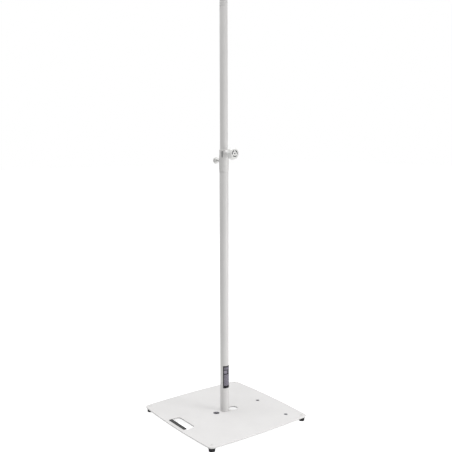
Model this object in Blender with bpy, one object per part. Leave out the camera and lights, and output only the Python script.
"""A white speaker stand: a bowed square steel base plate with a two-stage round pole.

Metres, +Z up. The origin is on the floor under the pole, at the middle of the feet's undersides.
The base plate's handle slot is at -X, the clamping knob points to -Y and the locking pin to +Y.
"""

import math

import bmesh
import bpy
from mathutils import Matrix, Vector

# Clearance kept between neighbouring solids.
GAP = 0.0003

# Base plate
FOOT_HEIGHT = 0.020
PLATE_THICKNESS = 0.006
PLATE_SIDE = 0.550
PLATE_BOW = 0.0113
PLATE_CORNER_RADIUS = 0.022
PLATE_EDGE_BEVEL = 0.0008
PLATE_TOP = FOOT_HEIGHT + PLATE_THICKNESS

# Handle slot and its grip
SLOT_OUTER_X = -0.256
SLOT_INNER_X = -0.211
SLOT_LENGTH = 0.134
SLOT_INNER_RADIUS = 0.016
SLOT_OUTER_RADIUS = 0.004
GRIP_WALL = 0.0018
GRIP_REACH = 0.0135
GRIP_RIB_COUNT = 17
GRIP_RIB_HEIGHT = 0.0012

# Holes and bushes in the plate
CABLE_HOLE_X = 0.049
CABLE_HOLE_RADIUS = 0.022
SPARE_BUSH_X = -0.048
POLE_THREAD_RADIUS = 0.010
BUSH_FLANGE_RADIUS = 0.019
BUSH_FLANGE_HEIGHT = 0.007
BUSH_NECK_RADIUS = 0.0147
WEIGHT_BUSH_X = 0.2015
WEIGHT_BUSH_YS = (0.0, -0.206)
WEIGHT_BUSH_NECK_RADIUS = 0.0085
WEIGHT_BUSH_FLANGE_RADIUS = 0.0115
WEIGHT_THREAD_RADIUS = 0.005

# Feet
FOOT_OFFSET = 0.2555
FOOT_TOP_RADIUS = 0.0172
FOOT_WAIST_RADIUS = 0.0145
FOOT_BOTTOM_RADIUS = 0.0132
FOOT_POCKET_RADIUS = 0.0082
FOOT_POCKET_HEIGHT = 0.0125
FOOT_WASHER_RADIUS = 0.0070
FOOT_WASHER_THICKNESS = 0.0012
FOOT_NUT_RADIUS = 0.0056
FOOT_NUT_HEIGHT = 0.0050
SCREW_RADIUS = 0.003
SCREW_HEAD_RADIUS = 0.0058
SCREW_HEAD_HEIGHT = 0.0024

# Lower tube and its threaded foot
LOWER_TUBE_RADIUS = 0.0205
LOWER_TUBE_BORE = 0.0190
LOWER_TUBE_TOP = PLATE_TOP + 1.150
PLUG_HEIGHT = 0.036
STUD_LENGTH_BELOW = 0.019
LABEL_BOTTOM = PLATE_TOP + 0.116
LABEL_HEIGHT = 0.107
LABEL_HALF_ARC = math.radians(56)
LABEL_THICKNESS = 0.0003

# Clamp collar
COLLAR_BOTTOM = PLATE_TOP + 1.127
COLLAR_TOP = PLATE_TOP + 1.224
COLLAR_SHOULDER = PLATE_TOP + 1.192
COLLAR_RADIUS = 0.0220
COLLAR_NECK_RADIUS = 0.0206
COLLAR_BEVEL = 0.0012
COLLAR_BORE = 0.0190
COLLAR_LIP_HEIGHT = 0.005
COLLAR_GROOVE_HEIGHTS = (PLATE_TOP + 1.133, PLATE_TOP + 1.147)
COLLAR_GROOVE_DEPTH = 0.0008
COLLAR_GROOVE_HALF_WIDTH = 0.0013
COLLAR_SCREW_RADIUS = 0.0025
COLLAR_SCREW_HEIGHT = PLATE_TOP + 1.140
COLLAR_SCREW_ANGLES = (math.radians(150), math.radians(30))
LEAF_ANGLES = (math.radians(-150), math.radians(-30), math.radians(30), math.radians(150))
LEAF_HEIGHT = PLATE_TOP + 1.203
LEAF_HALF_HEIGHT = 0.0165
LEAF_HALF_WIDTH = 0.0052
LEAF_HALF_DEPTH = 0.0050

# Clamping knob and its screw, along -Y
KNOB_HEIGHT = PLATE_TOP + 1.207
BOSS_END = 0.0420
BOSS_END_RADIUS = 0.0110
BOSS_ROOT_HALF_WIDTH = 0.0122
BOSS_ROOT_HALF_HEIGHT = 0.0165
PAD_RADIUS = 0.0070
PAD_FRONT = 0.0150
PAD_BACK = 0.0240
PAD_SOCKET_DEPTH = 0.0025
PAD_CHAMBER_END = 0.0275
CLAMP_SCREW_RADIUS = 0.004
INSERT_RADIUS = 0.0065
KNOB_BACK = 0.0460
KNOB_RIM_BACK = 0.0575
KNOB_RIM_FRONT = 0.0730
KNOB_FACE = 0.0800
KNOB_RADIUS = 0.0282
KNOB_LOBES = 8
KNOB_LOBE_DEPTH = 0.0008
KNOB_WAVE_START = 0.0200
KNOB_CAP_RADIUS = 0.0190
KNOB_CAP_DEPTH = 0.0030
KNOB_SCREW_END = 0.0715

# Locking pin, along +Y
PIN_HEIGHT = PLATE_TOP + 1.175
PIN_RADIUS = 0.0040
PIN_TIP = 0.0182
PIN_GUIDE_END = 0.0400
PIN_GUIDE_RADIUS = 0.0078
PIN_CHAMBER_RADIUS = 0.0060
PIN_CHAMBER_START = 0.0215
PIN_CHAMBER_END = 0.0365
PIN_RING_Y = 0.0348
PIN_RING_THICKNESS = 0.0012
PIN_HEAD_BACK = 0.0525
PIN_HEAD_LENGTH = 0.0130
PIN_HEAD_RADIUS = 0.0158
PIN_HEAD_LOBES = 12
PIN_HEAD_LOBE_DEPTH = 0.0005
PIN_WAVE_START = 0.0100

# Upper tube (mast)
MAST_RADIUS = 0.0175
MAST_BORE = 0.0160
MAST_TOP = PLATE_TOP + 1.871
MAST_LENGTH = 1.100
CAP_FLANGE = 0.0020
CAP_CHAMFER = 0.0012
CAP_SPIGOT = 0.0200
CAP_WALL = 0.0020
GROOVE_DEPTHS_BELOW_TOP = (0.0052, 0.0158, 0.0274)
GROOVE_HALF_WIDTH = 0.0025
GROOVE_DEPTH = 0.0009
HOLE_PITCH = 0.050
HOLE_RADIUS = 0.0046
HOLES_UP = 11
HOLES_DOWN = 5
GLIDE_RADIUS = 0.0187
GLIDE_HEIGHT = 0.030

# A cutter is spun a little about its own axis, so that its edges miss those of what it cuts.
CUTTER_SPIN = math.radians(2.3)

TUBE_SEGMENTS = 32
ROUND_SEGMENTS = 20
SMALL_SEGMENTS = 12


# ---------------------------------------------------------------- helpers

def clear_scene():
    for obj in list(bpy.data.objects):
        bpy.data.objects.remove(obj)


def make_material(name, color, roughness, metallic=0.0):
    material = bpy.data.materials.new(name)
    material.use_nodes = True
    shader = material.node_tree.nodes["Principled BSDF"]
    shader.inputs["Base Color"].default_value = (*color, 1.0)
    shader.inputs["Roughness"].default_value = roughness
    shader.inputs["Metallic"].default_value = metallic
    return material


def make_empty(name, location=(0.0, 0.0, 0.0)):
    empty = bpy.data.objects.new(name, None)
    empty.location = location
    bpy.context.collection.objects.link(empty)
    return empty


def finish_mesh(name, bm, material=None, parent=None):
    """Turn a bmesh into an object with outward normals and smooth round faces."""
    bmesh.ops.recalc_face_normals(bm, faces=bm.faces)
    mesh = bpy.data.meshes.new(name)
    bm.to_mesh(mesh)
    bm.free()
    mesh.shade_smooth()
    mesh.set_sharp_from_angle(angle=math.radians(35))
    if material:
        mesh.materials.append(material)
    obj = bpy.data.objects.new(name, mesh)
    obj.parent = parent
    bpy.context.collection.objects.link(obj)
    return obj


def lathe(name, profile, material=None, parent=None, segments=ROUND_SEGMENTS, radius_at=None):
    """Turn a closed (radius, height) profile about Z; radius_at may wave a radius with angle."""
    bm = bmesh.new()
    rings = []
    for radius, height in profile:
        if radius < 1e-9:
            rings.append([bm.verts.new((0.0, 0.0, height))])
            continue
        ring = []
        for step in range(segments):
            angle = 2.0 * math.pi * step / segments
            r = radius_at(radius, height, angle) if radius_at else radius
            ring.append(bm.verts.new((r * math.cos(angle), r * math.sin(angle), height)))
        rings.append(ring)
    pairs = list(zip(rings, rings[1:] + rings[:1]))
    for lower, upper in pairs:
        if len(lower) == 1 and len(upper) == 1:
            continue
        for step in range(segments):
            after = (step + 1) % segments
            if len(lower) == 1:
                bm.faces.new((lower[0], upper[step], upper[after]))
            elif len(upper) == 1:
                bm.faces.new((lower[step], lower[after], upper[0]))
            else:
                bm.faces.new((lower[step], lower[after], upper[after], upper[step]))
    return finish_mesh(name, bm, material, parent)


def prism(name, outline, bottom, top, material=None, parent=None):
    """Extrude a closed XY outline from one height to another."""
    bm = bmesh.new()
    face = bm.faces.new([bm.verts.new((x, y, bottom)) for x, y in outline])
    extruded = bmesh.ops.extrude_face_region(bm, geom=[face])
    raised = [v for v in extruded["geom"] if isinstance(v, bmesh.types.BMVert)]
    bmesh.ops.translate(bm, verts=raised, vec=(0.0, 0.0, top - bottom))
    return finish_mesh(name, bm, material, parent)


def block(name, low, high, material=None, parent=None):
    """A rectangular block between two corners."""
    outline = [(low[0], low[1]), (high[0], low[1]), (high[0], high[1]), (low[0], high[1])]
    return prism(name, outline, low[2], high[2], material, parent)


def arc_points(center, radius, start, end, steps):
    """Points on an arc, both ends included; angles in radians."""
    points = []
    for step in range(steps + 1):
        angle = start + (end - start) * step / steps
        points.append((center[0] + radius * math.cos(angle), center[1] + radius * math.sin(angle)))
    return points


def guide(obj):
    """Mark an object as a cutting or joining guide that isn't part of the model."""
    obj.hide_render = True
    obj.display_type = "WIRE"
    return obj


def combine(obj, other, operation):
    """Join or cut an object with a guide, with the exact solver."""
    guide(other)
    modifier = obj.modifiers.new(other.name, "BOOLEAN")
    modifier.operation = operation
    modifier.solver = "EXACT"
    modifier.object = other


def cut(obj, other):
    combine(obj, other, "DIFFERENCE")


def join(obj, other):
    combine(obj, other, "UNION")


def bevel_edges(obj, width, segments=2, angle=math.radians(40)):
    modifier = obj.modifiers.new("edge_rounding", "BEVEL")
    modifier.width = width
    modifier.segments = segments
    modifier.limit_method = "ANGLE"
    modifier.angle_limit = angle


def upright_cylinder(name, x, y, radius, bottom, top, segments=ROUND_SEGMENTS):
    """A plain cutting cylinder along Z."""
    obj = lathe(name, [(0.0, bottom), (radius, bottom), (radius, top), (0.0, top)], segments=segments)
    obj.location = (x, y, 0.0)
    return obj


def point_forward(obj, height):
    """Lay a turned piece along -Y at a height: its profile's heights become distances from the axis."""
    obj.location = (0.0, 0.0, height)
    obj.rotation_euler = (math.radians(90), 0.0, 0.0)
    return obj


def point_backward(obj, height):
    """Lay a turned piece along +Y at a height."""
    obj.location = (0.0, 0.0, height)
    obj.rotation_euler = (math.radians(-90), 0.0, 0.0)
    return obj


def tube_profile(inner, outer, bottom, top):
    return [(inner, bottom), (outer, bottom), (outer, top), (inner, top)]


# ---------------------------------------------------------------- base

def plate_outline():
    """A square whose four sides bow outward, with tangent round corners."""
    half = PLATE_SIDE / 2.0
    side_radius = PLATE_SIDE ** 2 / (8.0 * PLATE_BOW) + PLATE_BOW / 2.0
    center_offset = side_radius - (half + PLATE_BOW)
    reach = side_radius - PLATE_CORNER_RADIUS
    corner = (math.sqrt(2.0 * reach ** 2 - center_offset ** 2) - center_offset) / 2.0
    half_angle = math.atan2(corner, corner + center_offset)
    points = []
    for quarter in range(4):
        turn = quarter * math.pi / 2.0
        turned = Matrix.Rotation(turn, 2)
        side = arc_points((0.0, center_offset), side_radius,
                          -math.pi / 2.0 - half_angle, -math.pi / 2.0 + half_angle, 14)
        round_corner = arc_points((corner, -corner), PLATE_CORNER_RADIUS,
                                  -math.pi / 2.0 + half_angle, -half_angle, 8)
        for x, y in side + round_corner[1:-1]:
            points.append(tuple(turned @ Vector((x, y))))
    return points


def slot_outline():
    """The handle slot: large round corners on its inner side, small ones beside the grip."""
    half = SLOT_LENGTH / 2.0
    inner = SLOT_INNER_RADIUS
    outer = SLOT_OUTER_RADIUS
    quarter = math.pi / 2.0
    points = arc_points((SLOT_INNER_X - inner, half - inner), inner, 0.0, quarter, 8)
    points += arc_points((SLOT_OUTER_X + outer, half - outer), outer, quarter, 2 * quarter, 4)
    points += arc_points((SLOT_OUTER_X + outer, outer - half), outer, 2 * quarter, 3 * quarter, 4)
    points += arc_points((SLOT_INNER_X - inner, inner - half), inner, 3 * quarter, 4 * quarter, 8)
    return points


def foot_places():
    return [(sx * FOOT_OFFSET, sy * FOOT_OFFSET) for sx, sy in ((-1, -1), (1, -1), (1, 1), (-1, 1))]


def make_base_plate(material, parent):
    plate = prism("base_plate", plate_outline(), FOOT_HEIGHT, PLATE_TOP, material, parent)
    bevel_edges(plate, PLATE_EDGE_BEVEL)
    below = FOOT_HEIGHT - 0.01
    above = PLATE_TOP + 0.01
    cut(plate, prism("slot_cutter", slot_outline(), below, above))
    cut(plate, upright_cylinder("cable_hole_cutter", CABLE_HOLE_X, 0.0, CABLE_HOLE_RADIUS, below, above))
    for name, x in (("pole_hole_cutter", 0.0), ("spare_hole_cutter", SPARE_BUSH_X)):
        cut(plate, upright_cylinder(name, x, 0.0, BUSH_NECK_RADIUS + GAP, below, above))
    for number, y in enumerate(WEIGHT_BUSH_YS, 1):
        radius = WEIGHT_BUSH_NECK_RADIUS + GAP
        cut(plate, upright_cylinder(f"weight_hole_cutter_{number}", WEIGHT_BUSH_X, y, radius, below, above))
    for number, (x, y) in enumerate(foot_places(), 1):
        radius = SCREW_RADIUS + GAP
        cut(plate, upright_cylinder(f"foot_hole_cutter_{number}", x, y, radius, below, above, SMALL_SEGMENTS))
    return plate


def grip_rib_profile(length):
    """The side view of the grip's upper flange: a row of low ribs, as (y, z) points."""
    low = PLATE_TOP + GAP
    floor = low + GRIP_WALL
    crest = floor + GRIP_RIB_HEIGHT
    pitch = length / GRIP_RIB_COUNT
    points = [(-length / 2.0, low), (length / 2.0, low)]
    for rib in range(GRIP_RIB_COUNT):
        end = length / 2.0 - rib * pitch
        points += [(end, floor), (end - 0.20 * pitch, crest), (end - 0.65 * pitch, crest),
                   (end - 0.85 * pitch, floor)]
    points.append((-length / 2.0, floor))
    return points


def make_handle_grip(material, parent):
    """A rubber edge trim, U-shaped in section, pushed over the slot's outer edge."""
    inside = SLOT_OUTER_X + GAP
    length = SLOT_LENGTH - 2.0 * SLOT_OUTER_RADIUS - 0.002
    top_low = PLATE_TOP + GAP
    bottom_high = FOOT_HEIGHT - GAP
    bm = bmesh.new()
    left = SLOT_OUTER_X - GRIP_REACH
    face = bm.faces.new([bm.verts.new((left, y, z)) for y, z in grip_rib_profile(length)])
    extruded = bmesh.ops.extrude_face_region(bm, geom=[face])
    moved = [v for v in extruded["geom"] if isinstance(v, bmesh.types.BMVert)]
    bmesh.ops.translate(bm, verts=moved, vec=(inside + GRIP_WALL - left, 0.0, 0.0))
    grip = finish_mesh("handle_grip", bm, material, parent)
    web = block("grip_web", (inside, -length / 2.0, bottom_high - GRIP_WALL / 2.0),
                (inside + GRIP_WALL, length / 2.0, top_low + GRIP_WALL / 2.0))
    under = block("grip_under", (left, -length / 2.0, bottom_high - GRIP_WALL),
                  (inside + GRIP_WALL, length / 2.0, bottom_high))
    join(grip, web)
    join(grip, under)
    return grip


def make_flanged_bush(name, x, y, neck, flange, thread, material, parent):
    """A threaded bush: its neck fills a hole in the plate and its flange lies under the plate."""
    flange_bottom = FOOT_HEIGHT - GAP - BUSH_FLANGE_HEIGHT
    lead = 0.0008
    profile = [
        (thread, flange_bottom + lead),
        (thread + lead, flange_bottom),
        (flange - lead, flange_bottom),
        (flange, flange_bottom + lead),
        (flange, FOOT_HEIGHT - GAP),
        (neck, FOOT_HEIGHT - GAP),
        (neck, PLATE_TOP - lead),
        (neck - lead, PLATE_TOP),
        (thread + lead, PLATE_TOP),
        (thread, PLATE_TOP - lead),
    ]
    bush = lathe(name, profile, material, parent)
    bush.location = (x, y, 0.0)
    return bush


def make_foot(number, x, y, material, parent):
    pocket = FOOT_POCKET_RADIUS
    hole = SCREW_RADIUS + GAP
    top = FOOT_HEIGHT - GAP
    profile = [
        (hole, FOOT_POCKET_HEIGHT),
        (pocket, FOOT_POCKET_HEIGHT),
        (pocket, 0.0),
        (FOOT_BOTTOM_RADIUS - 0.0012, 0.0),
        (FOOT_BOTTOM_RADIUS, 0.0012),
        (FOOT_WAIST_RADIUS, 0.0120),
        (FOOT_TOP_RADIUS, 0.0150),
        (FOOT_TOP_RADIUS, top - 0.0010),
        (FOOT_TOP_RADIUS - 0.0010, top),
        (hole, top),
    ]
    foot = lathe(f"rubber_foot_{number}", profile, material, parent)
    foot.location = (x, y, 0.0)
    return foot


def make_foot_washer(number, x, y, material, parent):
    top = FOOT_POCKET_HEIGHT - GAP
    profile = tube_profile(SCREW_RADIUS + GAP, FOOT_WASHER_RADIUS, top - FOOT_WASHER_THICKNESS, top)
    washer = lathe(f"foot_washer_{number}", profile, material, parent, SMALL_SEGMENTS)
    washer.location = (x, y, 0.0)
    return washer


def make_foot_nut(number, x, y, material, parent):
    top = FOOT_POCKET_HEIGHT - FOOT_WASHER_THICKNESS - 2.0 * GAP
    profile = tube_profile(SCREW_RADIUS + GAP, FOOT_NUT_RADIUS, top - FOOT_NUT_HEIGHT, top)
    nut = lathe(f"foot_nut_{number}", profile, material, parent, 6)
    cutter = upright_cylinder(f"nut_bore_{number}", x, y, SCREW_RADIUS + GAP, 0.0, top + 0.01, SMALL_SEGMENTS)
    nut.location = (x, y, 0.0)
    cut(nut, cutter)
    return nut


def make_foot_screw(number, x, y, material, parent):
    """A low domed screw that clamps a foot up to the plate."""
    head = PLATE_TOP + GAP
    tip = 0.0045
    profile = [
        (0.0, tip),
        (SCREW_RADIUS - 0.0006, tip),
        (SCREW_RADIUS, tip + 0.0006),
        (SCREW_RADIUS, head),
        (SCREW_HEAD_RADIUS, head),
        (SCREW_HEAD_RADIUS, head + 0.0008),
        (SCREW_HEAD_RADIUS - 0.0012, head + 0.0018),
        (SCREW_HEAD_RADIUS - 0.0030, head + SCREW_HEAD_HEIGHT),
        (0.0020, head + SCREW_HEAD_HEIGHT),
        (0.0018, head + SCREW_HEAD_HEIGHT - 0.0014),
        (0.0, head + SCREW_HEAD_HEIGHT - 0.0014),
    ]
    screw = lathe(f"foot_screw_{number}", profile, material, parent, SMALL_SEGMENTS)
    screw.location = (x, y, 0.0)
    return screw


# ---------------------------------------------------------------- lower pole

def make_pole_stud(material, parent):
    """The pole's threaded stud, screwed into the base's centre bush."""
    bottom = PLATE_TOP - STUD_LENGTH_BELOW
    radius = POLE_THREAD_RADIUS - GAP
    top = PLATE_TOP + 0.026
    profile = [
        (0.0, bottom),
        (radius - 0.0015, bottom),
        (radius, bottom + 0.0015),
        (radius, top - 0.0010),
        (radius - 0.0010, top),
        (0.0, top),
    ]
    return lathe("pole_stud", profile, material, parent)


def make_stud_plug(material, parent):
    """The turned plug in the tube's foot that carries the stud."""
    bore = POLE_THREAD_RADIUS
    outer = LOWER_TUBE_BORE - GAP
    bottom = PLATE_TOP + GAP
    profile = [(bore, bottom), (outer, bottom), (outer, bottom + PLUG_HEIGHT), (bore, bottom + PLUG_HEIGHT)]
    return lathe("stud_plug", profile, material, parent)


def make_lower_tube(material, parent):
    profile = tube_profile(LOWER_TUBE_BORE, LOWER_TUBE_RADIUS, PLATE_TOP + GAP, LOWER_TUBE_TOP)
    return lathe("lower_tube", profile, material, parent, TUBE_SEGMENTS)


def make_info_label(material, parent):
    """A thin plastic label bent round the tube's front."""
    inner = LOWER_TUBE_RADIUS + GAP
    front = -math.pi / 2.0
    start = front - LABEL_HALF_ARC
    end = front + LABEL_HALF_ARC
    outline = arc_points((0.0, 0.0), inner + LABEL_THICKNESS, start, end, 24)
    outline += arc_points((0.0, 0.0), inner, end, start, 24)
    return prism("info_label", outline, LABEL_BOTTOM, LABEL_BOTTOM + LABEL_HEIGHT, material, parent)


# ---------------------------------------------------------------- collar

def collar_profile():
    """Outside of the collar with its ring grooves; its bores are cut later."""
    bevel = COLLAR_BEVEL
    points = [(0.0, COLLAR_BOTTOM), (COLLAR_RADIUS - bevel, COLLAR_BOTTOM),
              (COLLAR_RADIUS, COLLAR_BOTTOM + bevel)]
    for height in COLLAR_GROOVE_HEIGHTS:
        half = COLLAR_GROOVE_HALF_WIDTH
        floor = COLLAR_RADIUS - COLLAR_GROOVE_DEPTH
        points += [(COLLAR_RADIUS, height - half), (floor, height - half / 2.0),
                   (floor, height + half / 2.0), (COLLAR_RADIUS, height + half)]
    points += [
        (COLLAR_RADIUS, COLLAR_SHOULDER - 0.004),
        (COLLAR_RADIUS - 0.0003, COLLAR_SHOULDER),
        (COLLAR_NECK_RADIUS, COLLAR_SHOULDER + 0.012),
        (COLLAR_NECK_RADIUS, COLLAR_TOP - bevel),
        (COLLAR_NECK_RADIUS - bevel, COLLAR_TOP),
        (0.0, COLLAR_TOP),
    ]
    return points


def make_boss():
    """The knob's boss: a loft from a tall rounded root on the collar to a round end."""
    stations = (
        (0.0120, BOSS_ROOT_HALF_WIDTH, BOSS_ROOT_HALF_HEIGHT),
        (0.0200, BOSS_ROOT_HALF_WIDTH, BOSS_ROOT_HALF_HEIGHT * 0.98),
        (0.0260, BOSS_ROOT_HALF_WIDTH * 0.95, BOSS_ROOT_HALF_HEIGHT * 0.86),
        (0.0330, BOSS_END_RADIUS * 1.02, BOSS_END_RADIUS * 1.08),
        (BOSS_END - 0.001, BOSS_END_RADIUS, BOSS_END_RADIUS),
        (BOSS_END, BOSS_END_RADIUS - 0.001, BOSS_END_RADIUS - 0.001),
    )
    bm = bmesh.new()
    rings = []
    for distance, half_width, half_height in stations:
        ring = []
        for step in range(ROUND_SEGMENTS):
            angle = 2.0 * math.pi * step / ROUND_SEGMENTS
            ring.append(bm.verts.new((half_width * math.cos(angle), -distance,
                                      KNOB_HEIGHT + half_height * math.sin(angle))))
        rings.append(ring)
    for near, far in zip(rings, rings[1:]):
        for step in range(ROUND_SEGMENTS):
            after = (step + 1) % ROUND_SEGMENTS
            bm.faces.new((near[step], near[after], far[after], far[step]))
    bm.faces.new(rings[0])
    bm.faces.new(rings[-1])
    return finish_mesh("knob_boss", bm)


def make_leaf_cutter(number, angle):
    """A long narrow ellipsoid that cuts one leaf-shaped window in the collar's upper half."""
    bm = bmesh.new()
    bmesh.ops.create_uvsphere(bm, u_segments=14, v_segments=8, radius=1.0)
    bmesh.ops.scale(bm, vec=(LEAF_HALF_DEPTH, LEAF_HALF_WIDTH, LEAF_HALF_HEIGHT), verts=bm.verts)
    obj = finish_mesh(f"leaf_cutter_{number}", bm)
    obj.location = (COLLAR_NECK_RADIUS * math.cos(angle), COLLAR_NECK_RADIUS * math.sin(angle), LEAF_HEIGHT)
    obj.rotation_euler = (0.0, 0.0, angle)
    return obj


def bore_cutter(name, steps, height, forward, segments=ROUND_SEGMENTS):
    """A stepped cutting cylinder across the pole: (radius, start, end) for each step outward."""
    profile = [(0.0, steps[0][1])]
    for radius, start, end in steps:
        profile += [(radius, start), (radius, end)]
    profile.append((0.0, steps[-1][2]))
    obj = lathe(name, profile, segments=segments)
    place = point_forward if forward else point_backward
    place(obj, height)
    obj.rotation_euler.y = CUTTER_SPIN
    return obj


def collar_bore_cutter():
    """The stepped bore: it fits the lower tube, then the guide bush, then clears the upper tube."""
    below = COLLAR_BOTTOM - 0.01
    above = COLLAR_TOP + 0.01
    foot = LOWER_TUBE_RADIUS + GAP
    lip = MAST_RADIUS + 2.0 * GAP
    lip_bottom = COLLAR_TOP - COLLAR_LIP_HEIGHT
    profile = [
        (0.0, below),
        (foot, below),
        (foot, LOWER_TUBE_TOP + GAP),
        (COLLAR_BORE, LOWER_TUBE_TOP + GAP),
        (COLLAR_BORE, lip_bottom),
        (lip, lip_bottom),
        (lip, above),
        (0.0, above),
    ]
    cutter = lathe("collar_bore_cutter", profile, segments=TUBE_SEGMENTS)
    cutter.rotation_euler.z = CUTTER_SPIN
    return cutter


def make_clamp_collar(material, parent):
    collar = lathe("clamp_collar", collar_profile(), material, parent, TUBE_SEGMENTS)
    join(collar, make_boss())
    for number, angle in enumerate(LEAF_ANGLES, 1):
        cut(collar, make_leaf_cutter(number, angle))
    cut(collar, collar_bore_cutter())
    knob_bore = ((PAD_RADIUS + GAP, 0.010, PAD_CHAMBER_END),
                 (INSERT_RADIUS + GAP, PAD_CHAMBER_END, BOSS_END + 0.01))
    cut(collar, bore_cutter("knob_bore_cutter", knob_bore, KNOB_HEIGHT, True))
    pin_bore = ((PIN_GUIDE_RADIUS + GAP, 0.010, PIN_GUIDE_END),)
    cut(collar, bore_cutter("pin_bore_cutter", pin_bore, PIN_HEIGHT, False))
    for number, angle in enumerate(COLLAR_SCREW_ANGLES, 1):
        cut(collar, collar_screw_cutter(number, angle))
    return collar


def collar_screw_cutter(number, angle):
    radius = COLLAR_SCREW_RADIUS + GAP
    profile = [(0.0, 0.0), (radius, 0.0), (radius, 0.03), (0.0, 0.03)]
    obj = lathe(f"collar_screw_cutter_{number}", profile, segments=SMALL_SEGMENTS)
    place_radially(obj, angle, 0.0)
    return obj


def place_radially(obj, angle, distance):
    """Stand a turned piece on the collar, pointing outward at an angle about the pole."""
    obj.location = (distance * math.cos(angle), distance * math.sin(angle), COLLAR_SCREW_HEIGHT)
    obj.rotation_euler = (0.0, math.radians(90), angle)


def make_collar_screw(number, angle, material, parent):
    """A socket grub screw that pins the collar to the lower tube."""
    start = LOWER_TUBE_RADIUS + GAP
    length = COLLAR_RADIUS - start - GAP
    socket = COLLAR_SCREW_RADIUS / 2.0
    profile = [
        (0.0, 0.0),
        (COLLAR_SCREW_RADIUS, 0.0),
        (COLLAR_SCREW_RADIUS, length),
        (socket, length),
        (socket, length - 0.0008),
        (0.0, length - 0.0008),
    ]
    screw = lathe(f"collar_screw_{number}", profile, material, parent, SMALL_SEGMENTS)
    place_radially(screw, angle, start)
    return screw


def make_guide_bush(material, parent):
    """The plastic sleeve in the collar that the upper tube slides through."""
    bush = lathe("guide_bush", tube_profile(MAST_RADIUS + GAP, COLLAR_BORE - GAP, LOWER_TUBE_TOP + 2.0 * GAP,
                                            COLLAR_TOP - COLLAR_LIP_HEIGHT - GAP),
                 material, parent, TUBE_SEGMENTS)
    pad_window = ((PAD_RADIUS + GAP, 0.010, 0.030),)
    pin_window = ((PIN_RADIUS + GAP, 0.010, 0.030),)
    cut(bush, bore_cutter("bush_pad_window", pad_window, KNOB_HEIGHT, True))
    cut(bush, bore_cutter("bush_pin_window", pin_window, PIN_HEIGHT, False, SMALL_SEGMENTS))
    return bush


def make_thread_insert(material, parent):
    profile = tube_profile(CLAMP_SCREW_RADIUS + GAP, INSERT_RADIUS, PAD_CHAMBER_END + GAP, BOSS_END - GAP)
    return point_forward(lathe("thread_insert", profile, material, parent), KNOB_HEIGHT)


def make_pin_guide(material, parent):
    """The metal sleeve on the collar's back that the locking pin slides in."""
    bore = PIN_RADIUS + GAP
    start = COLLAR_BORE + GAP
    end = PIN_GUIDE_END
    profile = [
        (bore, start),
        (PIN_GUIDE_RADIUS, start),
        (PIN_GUIDE_RADIUS, end - 0.0040),
        (PIN_GUIDE_RADIUS - 0.0008, end - 0.0032),
        (PIN_GUIDE_RADIUS - 0.0008, end - 0.0008),
        (PIN_GUIDE_RADIUS - 0.0016, end),
        (bore, end),
        (bore, PIN_CHAMBER_END),
        (PIN_CHAMBER_RADIUS, PIN_CHAMBER_END),
        (PIN_CHAMBER_RADIUS, PIN_CHAMBER_START),
        (bore, PIN_CHAMBER_START),
    ]
    return point_backward(lathe("pin_guide", profile, material, parent), PIN_HEIGHT)


# ---------------------------------------------------------------- clamping knob

def make_pressure_pad(material, parent):
    """The plastic pad that the screw presses on the upper tube, hollowed to fit it."""
    socket = CLAMP_SCREW_RADIUS + GAP
    profile = [
        (0.0, PAD_FRONT),
        (PAD_RADIUS, PAD_FRONT),
        (PAD_RADIUS, PAD_BACK),
        (socket, PAD_BACK),
        (socket, PAD_BACK - PAD_SOCKET_DEPTH),
        (0.0, PAD_BACK - PAD_SOCKET_DEPTH),
    ]
    pad = point_forward(lathe("pressure_pad", profile, material, parent), KNOB_HEIGHT)
    cut(pad, upright_cylinder("pad_hollow_cutter", 0.0, 0.0, MAST_RADIUS + GAP, KNOB_HEIGHT - 0.03,
                              KNOB_HEIGHT + 0.03, TUBE_SEGMENTS))
    return pad


def make_clamp_screw(material, parent):
    start = PAD_BACK - PAD_SOCKET_DEPTH + GAP
    profile = [
        (0.0, start),
        (CLAMP_SCREW_RADIUS - 0.001, start),
        (CLAMP_SCREW_RADIUS, start + 0.001),
        (CLAMP_SCREW_RADIUS, KNOB_SCREW_END),
        (0.0, KNOB_SCREW_END),
    ]
    return point_forward(lathe("clamp_screw", profile, material, parent), KNOB_HEIGHT)


def knob_wave(radius, distance, angle):
    """Lobes round the knob's rim, fading towards its hub and its face."""
    share = max(0.0, min(1.0, (radius - KNOB_WAVE_START) / (KNOB_RADIUS - KNOB_WAVE_START)))
    return radius + KNOB_LOBE_DEPTH * share * (math.cos(KNOB_LOBES * angle) - 1.0)


def make_knob_body(material, parent):
    hub = 0.0125
    bore = CLAMP_SCREW_RADIUS + GAP
    cap = KNOB_CAP_RADIUS + GAP
    profile = [
        (bore, KNOB_BACK),
        (hub, KNOB_BACK),
        (hub + 0.0010, KNOB_RIM_BACK - 0.0080),
        (hub + 0.0060, KNOB_RIM_BACK - 0.0045),
        (KNOB_RADIUS - 0.0030, KNOB_RIM_BACK - 0.0010),
        (KNOB_RADIUS - 0.0006, KNOB_RIM_BACK + 0.0008),
        (KNOB_RADIUS, KNOB_RIM_BACK + 0.0026),
        (KNOB_RADIUS, KNOB_RIM_FRONT - 0.0026),
        (KNOB_RADIUS - 0.0008, KNOB_RIM_FRONT - 0.0010),
        (KNOB_RADIUS - 0.0028, KNOB_RIM_FRONT),
        (KNOB_RADIUS - 0.0050, KNOB_FACE - 0.0028),
        (KNOB_RADIUS - 0.0066, KNOB_FACE - 0.0006),
        (cap + 0.0008, KNOB_FACE),
        (cap, KNOB_FACE - 0.0006),
        (cap, KNOB_FACE - KNOB_CAP_DEPTH),
        (bore, KNOB_FACE - KNOB_CAP_DEPTH),
    ]
    knob = lathe("knob_body", profile, material, parent, 5 * KNOB_LOBES, knob_wave)
    return point_forward(knob, KNOB_HEIGHT)


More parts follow.
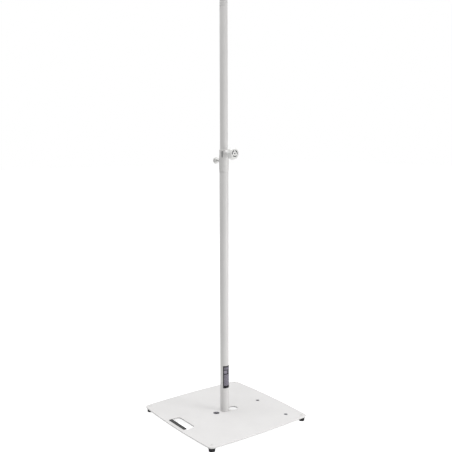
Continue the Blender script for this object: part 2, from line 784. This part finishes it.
def make_knob_cap(material, parent):
    back = KNOB_FACE - KNOB_CAP_DEPTH + GAP
    profile = [
        (0.0, back),
        (KNOB_CAP_RADIUS, back),
        (KNOB_CAP_RADIUS, KNOB_FACE - 0.0004),
        (KNOB_CAP_RADIUS - 0.0012, KNOB_FACE + 0.0004),
        (KNOB_CAP_RADIUS * 0.6, KNOB_FACE + 0.0010),
        (0.0, KNOB_FACE + 0.0012),
    ]
    return point_forward(lathe("knob_cap", profile, material, parent), KNOB_HEIGHT)


# ---------------------------------------------------------------- locking pin

def make_locking_pin(material, parent):
    end = PIN_HEAD_BACK + PIN_HEAD_LENGTH - 0.004
    profile = [
        (0.0, PIN_TIP),
        (PIN_RADIUS - 0.0008, PIN_TIP),
        (PIN_RADIUS, PIN_TIP + 0.0016),
        (PIN_RADIUS, end),
        (0.0, end),
    ]
    return point_backward(lathe("locking_pin", profile, material, parent, SMALL_SEGMENTS), PIN_HEIGHT)


def make_pin_stop_ring(material, parent):
    """The ring on the pin, inside its guide, that keeps it from being pulled out."""
    profile = tube_profile(PIN_RADIUS + GAP, PIN_CHAMBER_RADIUS - GAP,
                           PIN_RING_Y, PIN_RING_Y + PIN_RING_THICKNESS)
    return point_backward(lathe("pin_stop_ring", profile, material, parent, SMALL_SEGMENTS), PIN_HEIGHT)


def pin_head_wave(radius, distance, angle):
    share = max(0.0, min(1.0, (radius - PIN_WAVE_START) / (PIN_HEAD_RADIUS - PIN_WAVE_START)))
    return radius + PIN_HEAD_LOBE_DEPTH * share * (math.cos(PIN_HEAD_LOBES * angle) - 1.0)


def make_pin_head(material, parent):
    """The round pull knob on the pin's outer end."""
    bore = PIN_RADIUS + GAP
    back = PIN_HEAD_BACK
    front = PIN_HEAD_BACK + PIN_HEAD_LENGTH
    inner_end = front - 0.004 + GAP
    profile = [
        (bore, back),
        (0.0062, back),
        (0.0070, back + 0.0030),
        (PIN_HEAD_RADIUS - 0.0024, back + 0.0050),
        (PIN_HEAD_RADIUS - 0.0006, back + 0.0062),
        (PIN_HEAD_RADIUS, back + 0.0078),
        (PIN_HEAD_RADIUS - 0.0004, back + 0.0098),
        (PIN_HEAD_RADIUS - 0.0022, back + 0.0116),
        (PIN_HEAD_RADIUS - 0.0060, front - 0.0004),
        (0.0, front),
        (0.0, inner_end),
        (bore, inner_end),
    ]
    head = lathe("pin_head", profile, material, parent, 2 * PIN_HEAD_LOBES, pin_head_wave)
    return point_backward(head, PIN_HEIGHT)


# ---------------------------------------------------------------- upper pole

def mast_hole_heights():
    return [PIN_HEIGHT + step * HOLE_PITCH for step in range(-HOLES_DOWN, HOLES_UP + 1)]


def mast_profile():
    """The upper tube with three shallow rolled grooves under its top, and a ring above each pin hole."""
    bottom = MAST_TOP - MAST_LENGTH
    top = MAST_TOP - CAP_FLANGE - GAP
    rings = [height + HOLE_PITCH / 2.0 for height in mast_hole_heights()]
    points = [(MAST_BORE, bottom), (MAST_RADIUS, bottom)]
    points += [(MAST_RADIUS, height) for height in rings]
    for depth in reversed(GROOVE_DEPTHS_BELOW_TOP):
        height = MAST_TOP - depth
        floor = MAST_RADIUS - GROOVE_DEPTH
        points += [(MAST_RADIUS, height - GROOVE_HALF_WIDTH), (floor, height - GROOVE_HALF_WIDTH * 0.45),
                   (floor, height + GROOVE_HALF_WIDTH * 0.45), (MAST_RADIUS, height + GROOVE_HALF_WIDTH)]
    points += [(MAST_RADIUS, top), (MAST_BORE, top)]
    points += [(MAST_BORE, height) for height in reversed(rings)]
    return points


def make_upper_tube(material, parent):
    mast = lathe("upper_tube", mast_profile(), material, parent, TUBE_SEGMENTS)
    for number, height in enumerate(mast_hole_heights(), 1):
        name = f"mast_hole_cutter_{number}"
        cut(mast, bore_cutter(name, ((HOLE_RADIUS, 0.008, 0.025),), height, False, SMALL_SEGMENTS))
    return mast


def make_top_cap(material, parent):
    """The plug that closes the mast's top, with a chamfered flange as wide as the tube."""
    spigot = MAST_BORE - GAP
    under = MAST_TOP - CAP_FLANGE
    floor = under - CAP_WALL
    profile = [
        (spigot - CAP_WALL, under - CAP_SPIGOT),
        (spigot, under - CAP_SPIGOT),
        (spigot, under),
        (MAST_RADIUS, under),
        (MAST_RADIUS, MAST_TOP - CAP_CHAMFER),
        (MAST_RADIUS - CAP_CHAMFER, MAST_TOP),
        (0.0, MAST_TOP),
        (0.0, floor),
        (spigot - CAP_WALL, floor),
    ]
    return lathe("top_cap", profile, material, parent, TUBE_SEGMENTS)


def make_mast_glide(material, parent):
    """The plastic shoe on the mast's lower end that centres it in the lower tube."""
    bottom = MAST_TOP - MAST_LENGTH - GAP - GLIDE_HEIGHT
    flange_top = bottom + GLIDE_HEIGHT
    spigot = MAST_BORE - GAP
    profile = [
        (spigot - 0.003, bottom),
        (GLIDE_RADIUS - 0.002, bottom),
        (GLIDE_RADIUS, bottom + 0.003),
        (GLIDE_RADIUS, flange_top),
        (spigot, flange_top),
        (spigot, flange_top + 0.025),
        (spigot - 0.003, flange_top + 0.025),
    ]
    return lathe("mast_glide", profile, material, parent)


# ---------------------------------------------------------------- assembly

def build_base(paint, rubber, zinc):
    stand = make_empty("stand_origin")
    make_base_plate(paint, stand)
    make_handle_grip(rubber, stand)
    thread = POLE_THREAD_RADIUS
    make_flanged_bush("pole_bush", 0.0, 0.0, BUSH_NECK_RADIUS, BUSH_FLANGE_RADIUS, thread, zinc, stand)
    make_flanged_bush("spare_pole_bush", SPARE_BUSH_X, 0.0, BUSH_NECK_RADIUS, BUSH_FLANGE_RADIUS,
                      thread, zinc, stand)
    for number, y in enumerate(WEIGHT_BUSH_YS, 1):
        make_flanged_bush(f"weight_bush_{number}", WEIGHT_BUSH_X, y, WEIGHT_BUSH_NECK_RADIUS,
                          WEIGHT_BUSH_FLANGE_RADIUS, WEIGHT_THREAD_RADIUS, zinc, stand)
    for number, (x, y) in enumerate(foot_places(), 1):
        make_foot(number, x, y, rubber, stand)
        make_foot_washer(number, x, y, zinc, stand)
        make_foot_nut(number, x, y, zinc, stand)
        make_foot_screw(number, x, y, paint, stand)


def build_pole(paint, grey_plastic, zinc, label):
    stand = make_empty("pole_origin")
    make_pole_stud(zinc, stand)
    make_stud_plug(zinc, stand)
    make_lower_tube(paint, stand)
    make_info_label(label, stand)
    make_clamp_collar(paint, stand)
    make_guide_bush(grey_plastic, stand)
    make_thread_insert(zinc, stand)
    make_pin_guide(paint, stand)
    for number, angle in enumerate(COLLAR_SCREW_ANGLES, 1):
        make_collar_screw(number, angle, zinc, stand)


def build_knob(white_plastic, plastic, zinc):
    axis = make_empty("knob_axis")
    make_pressure_pad(plastic, axis)
    make_clamp_screw(zinc, axis)
    make_knob_body(white_plastic, axis)
    make_knob_cap(white_plastic, axis)


def build_pin(zinc, white_plastic):
    axis = make_empty("pin_axis")
    make_locking_pin(zinc, axis)
    make_pin_stop_ring(zinc, axis)
    make_pin_head(white_plastic, axis)


def build_mast(paint, white_plastic, plastic):
    axis = make_empty("mast_axis")
    make_upper_tube(paint, axis)
    make_top_cap(white_plastic, axis)
    make_mast_glide(plastic, axis)


def main():
    clear_scene()
    paint = make_material("white_powder_coat", (0.80, 0.79, 0.78), 0.45)
    rubber = make_material("black_rubber", (0.02, 0.02, 0.02), 0.75)
    zinc = make_material("zinc_plated_steel", (0.55, 0.55, 0.54), 0.35, 1.0)
    plastic = make_material("black_plastic", (0.04, 0.04, 0.04), 0.5)
    white_plastic = make_material("white_plastic", (0.72, 0.72, 0.70), 0.4)
    grey_plastic = make_material("grey_plastic", (0.42, 0.42, 0.42), 0.45)
    label = make_material("label_film", (0.05, 0.05, 0.07), 0.35)
    build_base(paint, rubber, zinc)
    build_pole(paint, grey_plastic, zinc, label)
    build_knob(white_plastic, plastic, zinc)
    build_pin(zinc, white_plastic)
    build_mast(paint, white_plastic, plastic)


main()
